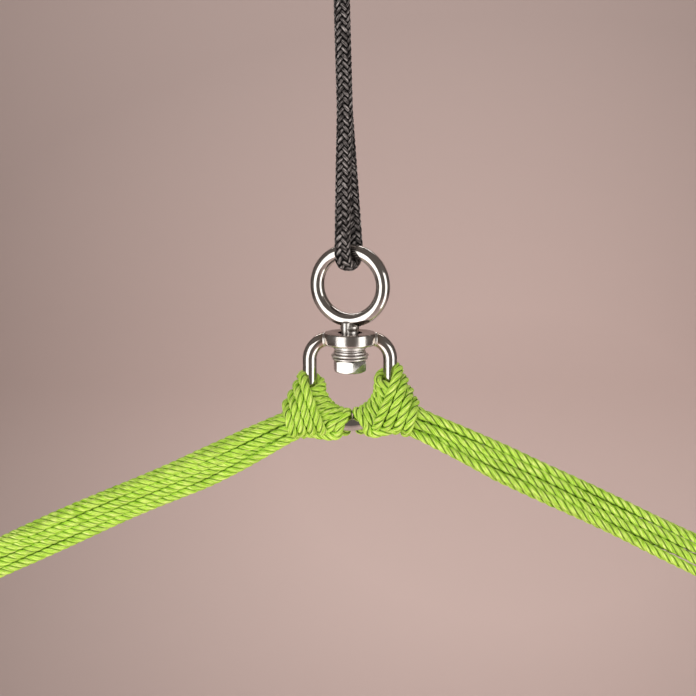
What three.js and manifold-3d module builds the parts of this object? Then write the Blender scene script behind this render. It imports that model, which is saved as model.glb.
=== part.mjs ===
// Hammock suspension: a rope sling on a ceiling eye, a stainless ring-and-bow swivel, and two
// bundles of twisted cord hitched on the bow. Millimetres, +Z up, origin on the ceiling face.
import * as THREE from 'three';
import { mergeVertices } from 'three/addons/utils/BufferGeometryUtils.js';
import Module from 'manifold-3d';

const wasm = await Module();
wasm.setup();

// Height of the ceiling face above the middle of the swivel collar.
const DROP = 262;
const WIRE = 8;
const GAP = 0.3;

// Ceiling plate and the wide square eye below it.
const PLATE = { long: 82, wide: 30, thick: 5, corner: 6, screwAt: 31.5, screwHole: 5.4, sink: 10.4 };
const EYE = { half: 18, bend: 8, drop: 31 };

// Black rope sling. It hangs a little off the middle of the eye, so it leans by a small slope.
const ROPE = { dia: 9.2, turn: 9.2, twist: 23, twistEnds: 132, aside: -0.65, lean: -0.028 };
const FERRULE = { dia: 14, bore: 9.9, long: 24, top: 222 };

// Swivel, from the ring down to the hexagon head.
const RING = { radius: 19.8, centre: 31.5, yaw: -20 };
const SHANK = 9.8;
const COLLAR = { dia: 30, top: 4.6, bottom: -2.5, bore: 10.6, recess: 13.5, recessDeep: 3.2 };
const RACE = { dia: 18.7, upperTop: -2.8, upperBottom: -4.7, lowerTop: -6.1, lowerBottom: -7.4 };
const CAGE = { dia: 17.6, bore: 11.4, top: -5.05, bottom: -5.75, balls: 10, ball: 0.45 };
const WASHER = { dia: 21.3, top: -7.7, bottom: -8.9 };
const SPRING = { dia: 20.4, top: -9.3, bottom: -10.8, slit: 1.2 };
const HEAD = { flats: 17, top: -11.1, bottom: -18.4, turn: 10 };

// Lower bow: two legs, two top bends and a half round.
const BOW = { half: 23, bend: 12, top: 1.2, centre: -25.7, start: 15.4 };

// Cord bundles: diameter, loops on each side, knot reach and free length.
const CORD = 4.8;
const LOOPS = 4;
const SPREAD = 12;
const KNOT = 20;
const KNOT_END = { half: 11, wide: 20, flat: 0.7 };
const RUN = 215;
const WHIP = { long: 18, half: 13.6, thick: 7.6 };
const SIDES = {
  left: { sign: -1, seat: 42, slope: 25, sag: -2.2, pitch: 5.6 },
  right: { sign: 1, seat: 34, slope: 25.7, sag: 0, pitch: 6.1 },
};

const steel = () => new THREE.MeshStandardMaterial({ color: 0xc9c6c2, roughness: 0.18, metalness: 1 });
const black = () => new THREE.MeshStandardMaterial({ color: 0x2b2929, roughness: 0.8, metalness: 0 });
const lime = () => new THREE.MeshStandardMaterial({ color: 0xa2c84e, roughness: 0.7, metalness: 0 });

const rad = THREE.MathUtils.degToRad;
const vec = (x, y, z) => new THREE.Vector3(x, y, z);

function solidOf(geometry) {
  const bare = geometry.index ? geometry.clone() : geometry;
  bare.deleteAttribute('normal');
  bare.deleteAttribute('uv');
  const joined = mergeVertices(bare, 1e-4);
  return new wasm.Manifold(new wasm.Mesh({
    numProp: 3,
    vertProperties: new Float32Array(joined.attributes.position.array),
    triVerts: new Uint32Array(joined.index.array),
  }));
}

function geometryOf(solid) {
  const mesh = solid.getMesh();
  const geometry = new THREE.BufferGeometry();
  geometry.setAttribute('position', new THREE.BufferAttribute(mesh.vertProperties, 3));
  geometry.setIndex(new THREE.BufferAttribute(mesh.triVerts, 1));
  geometry.computeVertexNormals();
  return geometry;
}

function cut(geometry, ...tools) {
  let solid = solidOf(geometry);
  for (const tool of tools) {
    solid = solid.subtract(solidOf(tool));
  }
  return geometryOf(solid);
}

function piece(name, geometry, material) {
  const mesh = new THREE.Mesh(geometry, material);
  mesh.name = name;
  return mesh;
}

// A round bar along a smooth line through the points.
function bar(points, diameter, sides, steps) {
  const ring = [];
  for (let i = 0; i < sides; i += 1) {
    const a = (2 * Math.PI * i) / sides;
    ring.push(new THREE.Vector2((diameter / 2) * Math.cos(a), (diameter / 2) * Math.sin(a)));
  }
  const path = points instanceof THREE.Curve ? points : new THREE.CatmullRomCurve3(points);
  return new THREE.ExtrudeGeometry(new THREE.Shape(ring), {
    steps,
    bevelEnabled: false,
    extrudePath: path,
  });
}

// A turned piece: the profile is [radius, height] pairs and closes on itself.
function turned(profile, segments = 40) {
  const points = profile.map(([r, z]) => new THREE.Vector2(r, z));
  points.push(points[0].clone());
  return new THREE.LatheGeometry(points, segments).rotateX(Math.PI / 2);
}

// A turned ring with a straight bore and its outer edges taken off.
function washer(outer, bore, top, bottom, edge, segments) {
  const r = outer / 2;
  return turned([
    [bore / 2, bottom],
    [r - edge, bottom],
    [r, bottom + edge],
    [r, top - edge],
    [r - edge, top],
    [bore / 2, top],
  ], segments);
}

function cylinder(radius, low, high, segments = 32) {
  return new THREE.CylinderGeometry(radius, radius, high - low, segments)
    .rotateX(Math.PI / 2)
    .translate(0, 0, (low + high) / 2);
}

function ceilingPlate() {
  const x = PLATE.long / 2;
  const y = PLATE.wide / 2;
  const c = PLATE.corner;
  const shape = new THREE.Shape();
  shape.moveTo(c - x, -y);
  shape.lineTo(x - c, -y);
  shape.absarc(x - c, c - y, c, -Math.PI / 2, 0);
  shape.lineTo(x, y - c);
  shape.absarc(x - c, y - c, c, 0, Math.PI / 2);
  shape.lineTo(c - x, y);
  shape.absarc(c - x, y - c, c, Math.PI / 2, Math.PI);
  shape.lineTo(-x, c - y);
  shape.absarc(c - x, c - y, c, Math.PI, 1.5 * Math.PI);
  const body = new THREE.ExtrudeGeometry(shape, { depth: PLATE.thick, bevelEnabled: false, curveSegments: 4 });
  body.translate(0, 0, -PLATE.thick);
  const tools = [];
  for (const side of [-1, 1]) {
    tools.push(cylinder(PLATE.screwHole / 2, -9, 4, 14).translate(side * PLATE.screwAt, 0, 0));
    const sink = new THREE.CylinderGeometry(PLATE.screwHole / 2, PLATE.sink / 2 + 1, 3.6, 14);
    sink.rotateX(Math.PI / 2).translate(side * PLATE.screwAt, 0, -PLATE.thick + 0.8);
    tools.push(sink);
    tools.push(cylinder(WIRE / 2 + GAP, -9, 4, 14).translate(side * EYE.half, 0, 0));
  }
  return piece('ceiling_plate', cut(body, ...tools), steel());
}

function ceilingEye() {
  const low = -PLATE.thick - EYE.drop;
  const top = -0.5;
  const at = EYE.half - EYE.bend;
  const points = [vec(-EYE.half, 0, top), vec(-EYE.half, 0, -12), vec(-EYE.half, 0, -20)];
  for (let i = 0; i <= 5; i += 1) {
    const a = (Math.PI / 2) * (i / 5);
    points.push(vec(-at - EYE.bend * Math.cos(a), 0, low + EYE.bend * (1 - Math.sin(a))));
  }
  for (let i = 5; i >= 0; i -= 1) {
    const a = (Math.PI / 2) * (i / 5);
    points.push(vec(at + EYE.bend * Math.cos(a), 0, low + EYE.bend * (1 - Math.sin(a))));
  }
  points.push(vec(EYE.half, 0, -20), vec(EYE.half, 0, -12), vec(EYE.half, 0, top));
  const line = new THREE.CatmullRomCurve3(points, false, 'centripetal');
  return piece('ceiling_eye', bar(line, WIRE, 12, 30), steel());
}

// How far to the side the sling is at a height, as it leans.
function aside(z) {
  return ROPE.aside + ROPE.lean * (z - RING.centre - RING.radius);
}

// The sling's centre line, from the ferrule down, round the ring, up and over the eye.
function slingLine() {
  const ringBar = RING.centre + RING.radius;
  const eyeBar = DROP - PLATE.thick - EYE.drop;
  const points = [];
  const leg = (side, z) => {
    const share = Math.min(1, Math.max(0, (ROPE.twistEnds - z) / (ROPE.twistEnds - ringBar)));
    const a = rad(ROPE.twist * share);
    const x = aside(z) + side * ROPE.turn * Math.sin(a);
    points.push(vec(x, side * ROPE.turn * Math.cos(a), z - DROP));
  };
  const ends = FERRULE.top - FERRULE.long / 2;
  leg(1, ends - GAP);
  leg(1, 190);
  for (const z of [170, 150, 130, 110, 90, 70, 60]) {
    leg(1, z);
  }
  for (let i = 0; i <= 8; i += 1) {
    const a = (Math.PI * i) / 8;
    const out = ROPE.turn * Math.cos(a);
    const yaw = rad(ROPE.twist);
    const x = ROPE.aside + out * Math.sin(yaw);
    points.push(vec(x, out * Math.cos(yaw), ringBar - ROPE.turn * Math.sin(a) - DROP));
  }
  for (const z of [60, 70, 90, 110, 130, 150, 170, 190, 212]) {
    leg(-1, z);
  }
  for (let i = 0; i <= 8; i += 1) {
    const a = (Math.PI * i) / 8;
    const y = -ROPE.turn * Math.cos(a);
    points.push(vec(aside(eyeBar), y, eyeBar + ROPE.turn * Math.sin(a) - DROP));
  }
  leg(1, ends + GAP);
  return new THREE.CatmullRomCurve3(points, false, 'centripetal');
}

function sling() {
  const group = new THREE.Group();
  group.add(piece('hanging_rope', bar(slingLine(), ROPE.dia, 8, 56), black()));
  const sleeve = washer(FERRULE.dia, FERRULE.bore, FERRULE.long / 2, -FERRULE.long / 2, 0.8, 24);
  const ferrule = piece('rope_ferrule', sleeve, steel());
  const middle = FERRULE.top - FERRULE.long / 2;
  ferrule.position.set(aside(middle), ROPE.turn, middle - DROP);
  ferrule.rotation.y = Math.atan(ROPE.lean);
  group.add(ferrule);
  return group;
}

function ringBody() {
  const group = new THREE.Group();
  group.position.z = -DROP;
  group.rotation.z = rad(RING.yaw);
  const torus = (tube) => new THREE.TorusGeometry(RING.radius, tube, 12, 40)
    .rotateX(Math.PI / 2)
    .translate(0, 0, RING.centre);
  group.add(piece('top_ring', torus(WIRE / 2), steel()));

  const end = RING.centre - RING.radius - 0.3;
  const shank = turned([
    [0, HEAD.top],
    [SHANK / 2, HEAD.top],
    [SHANK / 2, end - 1.5],
    [SHANK / 2 - 0.4, end - 0.6],
    [SHANK / 2 - 1.3, end],
    [0, end],
  ], 28);
  group.add(piece('swivel_bolt', boltWithHead(cut(shank, torus(WIRE / 2 + GAP))), steel()));

  const bead = turned([[5.2, 5.2], [5.55, 5.6], [5.75, 6.6], [5.7, 7.8], [5.2, 8.6]], 28);
  group.add(piece('ring_weld', cut(bead, torus(WIRE / 2 + GAP)), steel()));
  return group;
}

// The hexagon head with its lower corners turned off, joined to the shank.
function boltWithHead(shank) {
  const across = HEAD.flats / Math.cos(Math.PI / 6);
  const hex = new THREE.CylinderGeometry(across / 2, across / 2, HEAD.top - HEAD.bottom, 6)
    .rotateX(Math.PI / 2)
    .rotateZ(rad(HEAD.turn - RING.yaw))
    .translate(0, 0, (HEAD.top + HEAD.bottom) / 2);
  const cap = turned([
    [0, HEAD.bottom],
    [HEAD.flats / 2 - 0.4, HEAD.bottom],
    [across / 2 + 0.2, HEAD.bottom + 1.3],
    [across / 2 + 0.2, HEAD.top - 0.5],
    [across / 2 - 0.4, HEAD.top],
    [0, HEAD.top],
  ], 36);
  return geometryOf(solidOf(hex).intersect(solidOf(cap)).add(solidOf(shank)));
}

// Washers under the bearing turn with the bolt.
function boltStack() {
  const group = new THREE.Group();
  group.position.z = -DROP;
  const bore = SHANK + 2 * GAP;
  const race = washer(RACE.dia, bore, RACE.lowerTop, RACE.lowerBottom, 0.3, 28);
  group.add(piece('lower_race', race, steel()));
  group.add(piece('flat_washer', washer(WASHER.dia, bore, WASHER.top, WASHER.bottom, 0.4, 28), steel()));
  const slit = new THREE.BoxGeometry(14, SPRING.slit, 6).translate(10, 0, -10).rotateZ(rad(140));
  const ring = washer(SPRING.dia, bore, SPRING.top, SPRING.bottom, 0.4, 28);
  group.add(piece('spring_washer', cut(ring, slit), steel()));
  return group;
}

function ballCage() {
  const plate = washer(CAGE.dia, CAGE.bore, CAGE.top, CAGE.bottom, 0.1, 24);
  let solid = solidOf(plate);
  const middle = (CAGE.top + CAGE.bottom) / 2;
  for (let i = 0; i < CAGE.balls; i += 1) {
    const ball = new THREE.SphereGeometry(CAGE.ball, 6, 4).translate(7.3, 0, middle);
    solid = solid.add(solidOf(ball.rotateZ((2 * Math.PI * i) / CAGE.balls)));
  }
  const cage = piece('ball_cage', geometryOf(solid), steel());
  cage.position.z = -DROP;
  return cage;
}

// The bow's centre line from one side of the collar to the other.
function bowLine() {
  const at = BOW.half - BOW.bend;
  const corner = BOW.top - BOW.bend;
  const first = Math.asin((BOW.start - at) / BOW.bend);
  const rightCorner = [];
  for (let i = 0; i <= 8; i += 1) {
    const a = first + (Math.PI / 2 - first) * (i / 8);
    rightCorner.push(vec(at + BOW.bend * Math.sin(a), 0, corner + BOW.bend * Math.cos(a)));
  }
  const points = rightCorner.map((p) => vec(-p.x, 0, p.z));
  points.push(vec(-BOW.half, 0, -18.5));
  for (let i = 0; i <= 18; i += 1) {
    const a = Math.PI + (Math.PI * i) / 18;
    points.push(vec(BOW.half * Math.cos(a), 0, BOW.centre + BOW.half * Math.sin(a)));
  }
  points.push(vec(BOW.half, 0, -18.5), ...rightCorner.reverse());
  return new THREE.CatmullRomCurve3(points, false, 'centripetal');
}

function bowBody() {
  const group = new THREE.Group();
  group.position.z = -DROP;
  const r = COLLAR.dia / 2;
  const block = turned([
    [COLLAR.bore / 2, COLLAR.bottom],
    [r - 1.6, COLLAR.bottom],
    [r - 0.45, COLLAR.bottom + 0.45],
    [r, COLLAR.bottom + 1.5],
    [r, COLLAR.top - 0.8],
    [r - 0.25, COLLAR.top - 0.25],
    [r - 0.8, COLLAR.top],
    [COLLAR.recess / 2, COLLAR.top],
    [COLLAR.recess / 2, COLLAR.top - COLLAR.recessDeep],
    [COLLAR.bore / 2, COLLAR.top - COLLAR.recessDeep],
  ], 36);
  group.add(piece('collar', block, steel()));
  const grown = cylinder(r + GAP, -8, 8, 36);
  const bow = bar(bowLine(), WIRE, 12, 44);
  group.add(piece('lower_bow', cut(bow, grown), steel()));
  for (const [name, sign] of [['left_weld', -1], ['right_weld', 1]]) {
    const [first] = bowLine().points;
    const ahead = Math.asin((BOW.start - BOW.half + BOW.bend) / BOW.bend);
    const bead = turned([[4.3, -1.5], [4.95, -1.5], [4.9, 0.3], [4.6, 1.3], [4.3, 1.5]], 20)
      .rotateY(sign * (Math.PI / 2 + ahead))
      .translate(sign * (BOW.start + 0.2), 0, first.z);
    const tools = [cylinder(r + GAP, -8, 8, 36), bar(bowLine(), WIRE + 2 * GAP, 12, 44)];
    group.add(piece(name, cut(bead, ...tools), steel()));
  }
  const bore = SHANK + 2 * GAP;
  const race = washer(RACE.dia, bore, RACE.upperTop, RACE.upperBottom, 0.3, 28);
  group.add(piece('upper_race', race, steel()));
  return group;
}

// A point beside the bow: angle along it from the half round's top, distance out and depth.
function besideBow(degrees, out, depth) {
  if (degrees < 0) {
    return vec(BOW.half + out, depth, BOW.centre - BOW.half * rad(degrees));
  }
  const a = rad(degrees);
  const r = BOW.half + out;
  return vec(r * Math.cos(a), depth, BOW.centre - r * Math.sin(a));
}

// A point in a bundle: distance along it from the bow's bar, distance up across it and depth.
function inBundle(side, along, across, depth) {
  const seat = besideBow(side.seat, 0, 0);
  const a = rad(side.slope);
  const sag = side.sag * Math.exp(-(((along - 75) / 45) ** 2));
  const up = across + sag;
  return vec(
    seat.x + along * Math.cos(a) + up * Math.sin(a),
    depth,
    seat.z - along * Math.sin(a) + up * Math.cos(a),
  );
}

// Where each cord leaves the knot and where it ends, as [across, depth], upper leg first.
const LEAVES = [
  [[3, 0], [0, 5.2]],
  [[0, -5.2], [-3, 0]],
  [[5.7, 5.2], [-5.7, 5.2]],
  [[5.7, -5.2], [-5.7, -5.2]],
];

function endSlots(side) {
  const p = side.pitch;
  return [
    [[p / 2, 3.1], [-p / 2, 3.1]],
    [[p / 2, -3.1], [-p / 2, -3.1]],
    [[1.5 * p, 3.1], [-1.5 * p, 3.1]],
    [[1.5 * p, -3.1], [-1.5 * p, -3.1]],
  ];
}

function mirrored(points, sign) {
  return points.map((p) => vec(sign * p.x, p.y, p.z));
}

// All of one side's loops where they bear on the bow: wraps round the wire, and the band that
// crosses them, as one body with a groove that lets it slide along the bow.
function hitch(name, side) {
  const points = [];
  for (let i = 0; i <= 8; i += 1) {
    const angle = side.seat + SPREAD * LOOPS * (i / 8 - 0.5) * 2 - 4;
    points.push(besideBow(angle, 0, 0));
  }
  const wraps = solidOf(bar(points, WIRE + 2 * CORD + 0.8, 14, 14));
  const band = new THREE.CylinderGeometry(KNOT_END.half, KNOT_END.wide, KNOT, 16, 2);
  band.scale(1, 1, KNOT_END.flat).translate(0, KNOT / 2, 0);
  band.rotateX(Math.PI / 2).rotateY(rad(90 + side.slope));
  const seat = inBundle(side, 0, 0, -0.6);
  band.translate(seat.x, seat.y, seat.z);
  let solid = wraps.add(solidOf(band));
  const wire = bar(bowLine(), (WIRE + 2 * GAP) / Math.cos(Math.PI / 12), 12, 30);
  for (const lift of [0, 5]) {
    const groove = wire.clone().translate(0, 0, -BOW.centre);
    groove.rotateY(rad(lift)).translate(0, 0, BOW.centre);
    solid = solid.subtract(solidOf(groove));
  }
  const geometry = geometryOf(solid);
  if (side.sign < 0) {
    geometry.scale(-1, 1, 1);
    const index = geometry.index.array;
    for (let i = 0; i < index.length; i += 3) {
      [index[i], index[i + 1]] = [index[i + 1], index[i]];
    }
  }
  geometry.computeVertexNormals();
  return piece(name, geometry, lime());
}

// One cord from the knot to the whipping.
function run(name, side, loop, leg) {
  const [a0, d0] = LEAVES[loop][leg];
  const [a1, d1] = endSlots(side)[loop][leg];
  const points = [];
  for (let i = 0; i <= 5; i += 1) {
    const t = i / 5;
    const along = KNOT + 1 + (RUN - KNOT - 1 - GAP) * t;
    points.push(inBundle(side, along, a0 + (a1 - a0) * t, d0 + (d1 - d0) * t));
  }
  const line = new THREE.CatmullRomCurve3(mirrored(points, side.sign), false, 'centripetal');
  return piece(name, bar(line, CORD, 6, 5), lime());
}

// The bight that joins a loop's two legs past the whipping.
function bight(name, side, loop) {
  const [[half, depth]] = endSlots(side)[loop];
  const start = RUN + WHIP.long + GAP;
  const reach = loop > 1 ? 22 : 12;
  const points = [inBundle(side, start, half, depth)];
  points.push(inBundle(side, start + reach * 0.5, half, depth));
  for (let i = 0; i <= 6; i += 1) {
    const a = Math.PI / 2 - (Math.PI * i) / 6;
    points.push(inBundle(side, start + reach + half * Math.cos(a), half * Math.sin(a), depth));
  }
  points.push(inBundle(side, start + reach * 0.5, -half, depth));
  points.push(inBundle(side, start, -half, depth));
  const line = new THREE.CatmullRomCurve3(mirrored(points, side.sign), false, 'centripetal');
  return piece(name, bar(line, CORD, 6, 12), lime());
}

// The whipping round all of a bundle's cords.
function whipping(name, side) {
  const shape = new THREE.Shape();
  const flat = WHIP.half - WHIP.thick;
  shape.absarc(flat, 0, WHIP.thick, -Math.PI / 2, Math.PI / 2);
  shape.absarc(-flat, 0, WHIP.thick, Math.PI / 2, 1.5 * Math.PI);
  const body = new THREE.ExtrudeGeometry(shape, {
    depth: WHIP.long - 2.4,
    bevelEnabled: true,
    bevelSegments: 1,
    bevelSize: 1.2,
    bevelThickness: 1.2,
    curveSegments: 7,
  });
  body.translate(0, 0, 1.2);
  const start = inBundle(side, RUN, 0, 0);
  const mesh = piece(name, body, lime());
  mesh.position.set(side.sign * start.x, 0, start.z);
  mesh.rotation.y = side.sign * rad(90 + side.slope);
  return mesh;
}

function bundle(label, side) {
  const group = new THREE.Group();
  group.position.z = -DROP;
  group.add(hitch(`${label}_hitch`, side));
  for (let loop = 0; loop < LOOPS; loop += 1) {
    group.add(run(`${label}_cord_${loop + 1}a`, side, loop, 0));
    group.add(run(`${label}_cord_${loop + 1}b`, side, loop, 1));
    group.add(bight(`${label}_bight_${loop + 1}`, side, loop));
  }
  group.add(whipping(`${label}_whipping`, side));
  return group;
}

const suspension = new THREE.Group();
suspension.name = 'hammock_suspension';
suspension.add(ceilingPlate(), ceilingEye(), sling());
suspension.add(ringBody(), boltStack(), ballCage(), bowBody());
suspension.add(bundle('left', SIDES.left), bundle('right', SIDES.right));

export default suspension;
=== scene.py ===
import math

import bmesh
import bpy
import numpy as np
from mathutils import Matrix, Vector


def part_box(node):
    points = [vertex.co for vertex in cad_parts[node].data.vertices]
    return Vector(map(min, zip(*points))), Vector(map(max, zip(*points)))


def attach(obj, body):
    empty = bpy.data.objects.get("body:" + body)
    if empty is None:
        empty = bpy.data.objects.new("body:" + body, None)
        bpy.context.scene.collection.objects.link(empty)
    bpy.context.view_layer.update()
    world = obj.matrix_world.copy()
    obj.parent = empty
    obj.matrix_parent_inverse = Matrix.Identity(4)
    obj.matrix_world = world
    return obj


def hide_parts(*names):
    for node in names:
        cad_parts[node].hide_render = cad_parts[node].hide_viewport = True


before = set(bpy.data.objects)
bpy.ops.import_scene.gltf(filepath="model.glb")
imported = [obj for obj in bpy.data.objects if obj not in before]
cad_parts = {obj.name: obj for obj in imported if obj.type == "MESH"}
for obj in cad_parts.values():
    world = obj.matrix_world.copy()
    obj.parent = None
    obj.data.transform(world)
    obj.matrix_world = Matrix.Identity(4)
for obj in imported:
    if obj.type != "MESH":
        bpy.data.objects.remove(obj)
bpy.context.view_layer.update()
mm = 0.001
drop = 262.0  # from the middle of the collar up to the ceiling face, in mm
print("stage: frame loaded")


camera = {
    "aim": (-0.0011, 0.0, -0.2664),
    "distance": 0.9,
    "rise": 9.5,  # degrees above level
    "viewWidth": 0.3974,  # how much it sees from side to side at the aim
}


def placeCamera():
    rise = math.radians(camera["rise"])
    aim = Vector(camera["aim"])
    place = aim + Vector((0, -math.cos(rise), math.sin(rise))) * camera["distance"]
    data = bpy.data.cameras.new("camera")
    data.sensor_width = 36
    data.lens = 36 * camera["distance"] / camera["viewWidth"]
    data.clip_end = 20
    obj = bpy.data.objects.new("camera", data)
    obj.location = place
    obj.rotation_euler = (math.pi / 2 - rise, 0, 0)
    bpy.context.collection.objects.link(obj)
    bpy.context.scene.camera = obj


placeCamera()


# even points along a centripetal curve through the given ones
def smoothLine(points, step):
    p = np.array(points, float)
    p = np.vstack([2 * p[0] - p[1], p, 2 * p[-1] - p[-2]])
    fine = []
    for i in range(1, len(p) - 2):
        p0, p1, p2, p3 = p[i - 1 : i + 3]
        t0 = 0.0
        t1 = t0 + max(np.linalg.norm(p1 - p0), 1e-6) ** 0.5
        t2 = t1 + max(np.linalg.norm(p2 - p1), 1e-6) ** 0.5
        t3 = t2 + max(np.linalg.norm(p3 - p2), 1e-6) ** 0.5
        for t in np.linspace(t1, t2, 20, endpoint=False):
            a1 = (t1 - t) / (t1 - t0) * p0 + (t - t0) / (t1 - t0) * p1
            a2 = (t2 - t) / (t2 - t1) * p1 + (t - t1) / (t2 - t1) * p2
            a3 = (t3 - t) / (t3 - t2) * p2 + (t - t2) / (t3 - t2) * p3
            b1 = (t2 - t) / (t2 - t0) * a1 + (t - t0) / (t2 - t0) * a2
            b2 = (t3 - t) / (t3 - t1) * a2 + (t - t1) / (t3 - t1) * a3
            fine.append((t2 - t) / (t2 - t1) * b1 + (t - t1) / (t2 - t1) * b2)
    fine.append(p[-2])
    fine = np.array(fine)
    along = np.concatenate([[0], np.cumsum(np.linalg.norm(np.diff(fine, axis=0), axis=1))])
    count = max(2, int(round(along[-1] / step)) + 1)
    at = np.linspace(0, along[-1], count)
    return np.stack([np.interp(at, along, fine[:, k]) for k in range(3)], axis=1), along[-1]


def unit(v):
    return v / np.maximum(np.linalg.norm(v, axis=-1, keepdims=True), 1e-12)


# two directions across a line at each of its points, with no twist of their own
def sideways(line):
    ahead = unit(np.gradient(line, axis=0))
    first = np.cross(ahead[0], [0.0, 1.0, 0.0])
    if np.linalg.norm(first) < 0.1:
        first = np.cross(ahead[0], [1.0, 0.0, 0.0])
    across = [first / np.linalg.norm(first)]
    for t in ahead[1:]:
        n = across[-1] - t * np.dot(across[-1], t)
        across.append(n / np.linalg.norm(n))
    across = np.array(across)
    return across, np.cross(ahead, across)


# rings of points round a line: thick along outward, wide across it
def tubeRows(line, outward, wide, thick, sides):
    ahead = unit(np.gradient(line, axis=0))
    up = unit(outward - ahead * np.sum(outward * ahead, axis=1, keepdims=True))
    over = np.cross(ahead, up)
    rows = []
    for k in range(sides):
        a = 2 * math.pi * k / sides
        rows.append(line + up * (thick * math.cos(a)) + over * (wide * math.sin(a)))
    return np.stack(rows, axis=1)


# one mesh of closed tubes with a UV map: u round each strand, v along it in mm;
# crown is 1 on the strand's outer side and 0 where it goes under its neighbours
# the yarn materials paint shade where crown is low
def meshFromRows(name, strands, lengthStep, crowns):
    points, faces, uvs = [], [], []
    start = 0
    for index, rows in enumerate(strands):
        n, sides = rows.shape[:2]
        points.append(rows.reshape(-1, 3))
        for i in range(n - 1):
            v0 = i * lengthStep
            v1 = (i + 1) * lengthStep
            for k in range(sides):
                k2 = (k + 1) % sides
                a = start + i * sides
                faces.append((a + k, a + k2, a + sides + k2, a + sides + k))
                u0, u1 = k / sides + index * 1.37, (k + 1) / sides + index * 1.37
                uvs += [(u0, v0), (u1, v0), (u1, v1), (u0, v1)]
        faces.append(tuple(start + k for k in reversed(range(sides))))
        uvs += [(0.0, 0.0)] * sides
        last = start + (n - 1) * sides
        faces.append(tuple(last + k for k in range(sides)))
        uvs += [(0.0, 0.0)] * sides
        start += n * sides
    mesh = bpy.data.meshes.new(name)
    mesh.from_pydata(np.concatenate(points).tolist(), [], faces)
    layer = mesh.uv_layers.new(name="strandMap")
    layer.data.foreach_set("uv", np.array(uvs, dtype=np.float32).reshape(-1))
    crown = mesh.attributes.new("crown", "FLOAT", "POINT")
    crown.data.foreach_set("value", np.concatenate([c.reshape(-1) for c in crowns]).astype(np.float32))
    mesh.polygons.foreach_set("use_smooth", [True] * len(mesh.polygons))
    mesh.update()
    obj = bpy.data.objects.new(name, mesh)
    bpy.context.collection.objects.link(obj)
    return obj


def crownOf(rows, share=1.0):
    n, sides = rows.shape[:2]
    around = 0.5 + 0.5 * np.cos(2 * math.pi * np.arange(sides) / sides)
    return np.ones((n, 1)) * around * np.reshape(share, (-1, 1))


# lime cord of three strands; sizes in mm
cord = {
    "diameter": 5.4,
    "strandOut": 1.28,
    "strandWide": 1.5,
    "strandThick": 1.42,
    "step": 0.8,
    "sides": 12,
}
bow = {"half": 23.0, "bend": 12.0, "top": 1.2, "centre": -25.7, "start": 15.4, "wire": 8.0}
knot = {
    "reach": 20.0,  # from the wire to where the cords come out of the knot
    "spread": 12.0,  # degrees of the bow that one loop takes up
    "tilt": 8.0,
    "firstTilt": 0.5,  # the innermost loop crosses the wire almost square
    "wrap": 6.9,  # from the wire's middle to the cord's
    "curl": 0.72,
    "slant": 1.5,
    "front": -10.9,  # the bands stand out this far in front
    "frontMiddle": -11.9,
    "leaves": [
        [(3.0, 0.0), (0.0, 5.2)],
        [(0.0, -5.2), (-3.0, 0.0)],
        [(5.7, 5.2), (-5.7, 5.2)],
        [(5.7, -5.2), (-5.7, -5.2)],
    ],
}
# each band is how far out it lies, half its width, and how far up its middle is
bundles = {
    "left": {
        "sign": -1,
        "seat": 42.0,
        "slope": 25.0,
        "sag": -2.2,
        "pitch": 5.6,
        "squeeze": 0.08,
        "turn": -14.0,
        "lay": 15.4,
        "bands": [(17.4, 9.3, 2.9), (12.2, 11.9, 3.9), (7.0, 14.8, 4.8), (1.8, 17.9, 5.6)],
    },
    "right": {
        "sign": 1,
        "seat": 34.0,
        "slope": 25.7,
        "sag": 0.0,
        "pitch": 6.1,
        "squeeze": 0.16,
        "turn": 24.0,
        "lay": 18.2,
        "bands": [(16.6, 9.4, 1.3), (10.9, 12.2, 2.9), (5.2, 15.5, 4.3), (-0.5, 18.6, 5.6)],
    },
}
run = {
    "points": 12,
    "sagAt": 75,
    "sagWide": 45,
    "openBy": 3.5,  # the cords have spread out after 1/3.5 of the run
    "wander": 0.35,
    "wanderLong": 17,
    "farBight": 22,
    "nearBight": 12,
}
whip = {"from": 215.0, "long": 18.0, "twine": 2.0, "turns": 9}


# a point beside the bow's bar: degrees round its lower half, out from its middle, depth to the back
def besideBow(degrees, out, depth):
    if degrees < 0:
        return np.array([bow["half"] + out, depth, bow["centre"] - bow["half"] * math.radians(degrees)])
    a = math.radians(degrees)
    r = bow["half"] + out
    return np.array([r * math.cos(a), depth, bow["centre"] - r * math.sin(a)])


# a point in a bundle: along it from the bow, across it upwards, depth to the back
def inBundle(side, along, across, depth):
    seat = besideBow(side["seat"], 0, 0)
    a = math.radians(side["slope"])
    up = across + side["sag"] * math.exp(-(((along - run["sagAt"]) / run["sagWide"]) ** 2))
    return np.array([
        seat[0] + along * math.cos(a) + up * math.sin(a),
        depth,
        seat[2] - along * math.sin(a) + up * math.cos(a),
    ])


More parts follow.
